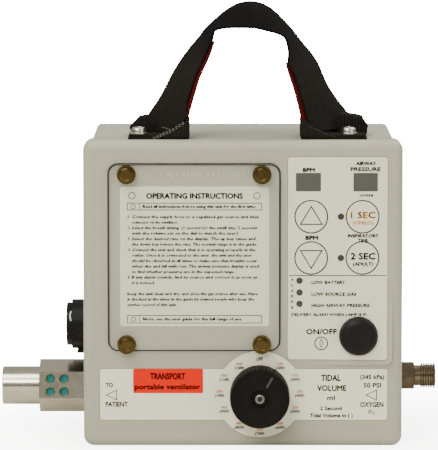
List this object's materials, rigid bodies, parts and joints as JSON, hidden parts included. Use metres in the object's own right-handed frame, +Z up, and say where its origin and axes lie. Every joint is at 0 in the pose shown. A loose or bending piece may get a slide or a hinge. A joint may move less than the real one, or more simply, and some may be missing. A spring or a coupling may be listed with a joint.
{
  "type": "portable transport ventilator",
  "caption": "Box-shaped portable ventilator with carry strap, battery cover, key panel, volume dial, patient outlet and oxygen inlet.",
  "frame": {"origin": "centre of the face that the case rests on: mid width and mid depth of the case, at its base", "axes": "+Z up, the control face looks along -Y, the oxygen inlet is on +X and the patient outlet on -X"},
  "size_m": [0.2588, 0.137, 0.2585],
  "materials": {
    "case": "fine moulded texture",
    "panel": "printed polycarbonate sheet, satin",
    "label": "printed label, satin",
    "sticker": "printed vinyl",
    "window": "tinted display window",
    "lamp": "dark lens, unlit",
    "black_plastic": "moulded, slight sheen",
    "black_rubber": "soft matt",
    "seal_rubber": "matt",
    "teal_rubber": "smooth silicone",
    "hose": "smooth",
    "brass": "knurled, lightly tarnished",
    "aluminium": "turned and milled",
    "inlet_metal": "plated, turned",
    "steel": "zinc plated",
    "webbing": "woven nylon",
    "board": "solder mask",
    "electronics": "moulded",
    "cell": "printed can",
    "tray": "moulded"
  },
  "bodies": {
    "case": {"front_housing": "case", "case_gasket": "seal_rubber", "rear_housing": "case", "case_screws": "steel", "battery_tray": "tray", "battery_cells": "cell", "battery_contacts": "steel", "cover_inserts": "brass", "control_overlay": "panel", "display_windows": "window", "display_modules": "electronics", "indicator_lamps": "lamp", "key_board": "board", "power_switch": "black_plastic", "switch_nut": "steel", "lower_label": "label", "accent_sticker": "sticker", "selector_bushing": "brass", "selector_nut": "steel", "selector_valve": "aluminium", "outlet_valve_body": "aluminium", "inlet_flap": "teal_rubber", "flap_rivet": "aluminium", "outlet_tube": "aluminium", "fitting_nuts": "steel", "relief_valve_body": "aluminium", "relief_collar": "black_plastic", "relief_spring": "steel", "oxygen_inlet": "inlet_metal", "pressure_regulator": "aluminium", "gas_filter": "brass", "gas_manifold": "aluminium", "control_solenoid": "black_plastic", "airway_tee": "black_plastic", "delivery_hose": "hose", "main_board": "board", "board_posts": "steel", "board_components": "electronics", "alarm_buzzer": "electronics", "strap_ends": "webbing", "strap_washers": "steel", "strap_screws": "steel", "strap_nuts": "steel"},
    "battery_cover": {"battery_cover": "case", "cover_gasket": "seal_rubber", "instruction_label": "label"},
    "thumb_screw_1": {"thumb_screw_1": "brass"},
    "thumb_screw_2": {"thumb_screw_2": "brass"},
    "thumb_screw_3": {"thumb_screw_3": "brass"},
    "thumb_screw_4": {"thumb_screw_4": "brass"},
    "key_up": {"key_up": "panel"},
    "key_down": {"key_down": "panel"},
    "key_one": {"key_one": "panel"},
    "key_two": {"key_two": "panel"},
    "power_button": {"power_button": "black_rubber"},
    "volume_knob": {"volume_knob": "black_plastic", "knob_screw": "steel", "selector_spindle": "steel"},
    "relief_knob": {"relief_knob": "black_plastic"},
    "strap": {"carry_strap": "webbing"}
  },
  "joints": [
    {"name": "cover_release", "type": "slide", "parent": "case", "child": "battery_cover", "axis": [0, -1, 0], "range_m": [0, 0.05]},
    {"name": "thumb_screw_1_turn", "type": "hinge", "parent": "battery_cover", "child": "thumb_screw_1", "pos_m": [-0.0676, -0.059, 0.0606], "axis": [0, -1, 0], "range_deg": [0, 1080]},
    {"name": "thumb_screw_2_turn", "type": "hinge", "parent": "battery_cover", "child": "thumb_screw_2", "pos_m": [0.011, -0.059, 0.0606], "axis": [0, -1, 0], "range_deg": [0, 1080]},
    {"name": "thumb_screw_3_turn", "type": "hinge", "parent": "battery_cover", "child": "thumb_screw_3", "pos_m": [-0.0676, -0.059, 0.16], "axis": [0, -1, 0], "range_deg": [0, 1080]},
    {"name": "thumb_screw_4_turn", "type": "hinge", "parent": "battery_cover", "child": "thumb_screw_4", "pos_m": [0.011, -0.059, 0.16], "axis": [0, -1, 0], "range_deg": [0, 1080]},
    {"name": "key_up_press", "type": "slide", "parent": "case", "child": "key_up", "axis": [0, 1, 0], "range_m": [0, 0.0004], "stiffness_N_per_m": 1500},
    {"name": "key_down_press", "type": "slide", "parent": "case", "child": "key_down", "axis": [0, 1, 0], "range_m": [0, 0.0004], "stiffness_N_per_m": 1500},
    {"name": "key_one_press", "type": "slide", "parent": "case", "child": "key_one", "axis": [0, 1, 0], "range_m": [0, 0.0004], "stiffness_N_per_m": 1500},
    {"name": "key_two_press", "type": "slide", "parent": "case", "child": "key_two", "axis": [0, 1, 0], "range_m": [0, 0.0004], "stiffness_N_per_m": 1500},
    {"name": "power_press", "type": "slide", "parent": "case", "child": "power_button", "axis": [0, 1, 0], "range_m": [0, 0.0025], "stiffness_N_per_m": 900},
    {"name": "volume_turn", "type": "hinge", "parent": "case", "child": "volume_knob", "pos_m": [0.0098, -0.07, 0.0309], "axis": [0, 1, 0], "range_deg": [-30, 300]},
    {"name": "relief_turn", "type": "hinge", "parent": "case", "child": "relief_knob", "pos_m": [-0.095, 0, 0.0643], "axis": [1, 0, 0], "range_deg": [-90, 180]},
    {"name": "strap_swing", "type": "hinge", "parent": "case", "child": "strap", "pos_m": [0, -0.0329, 0.19], "axis": [1, 0, 0], "range_deg": [-40, 40]}
  ]
}
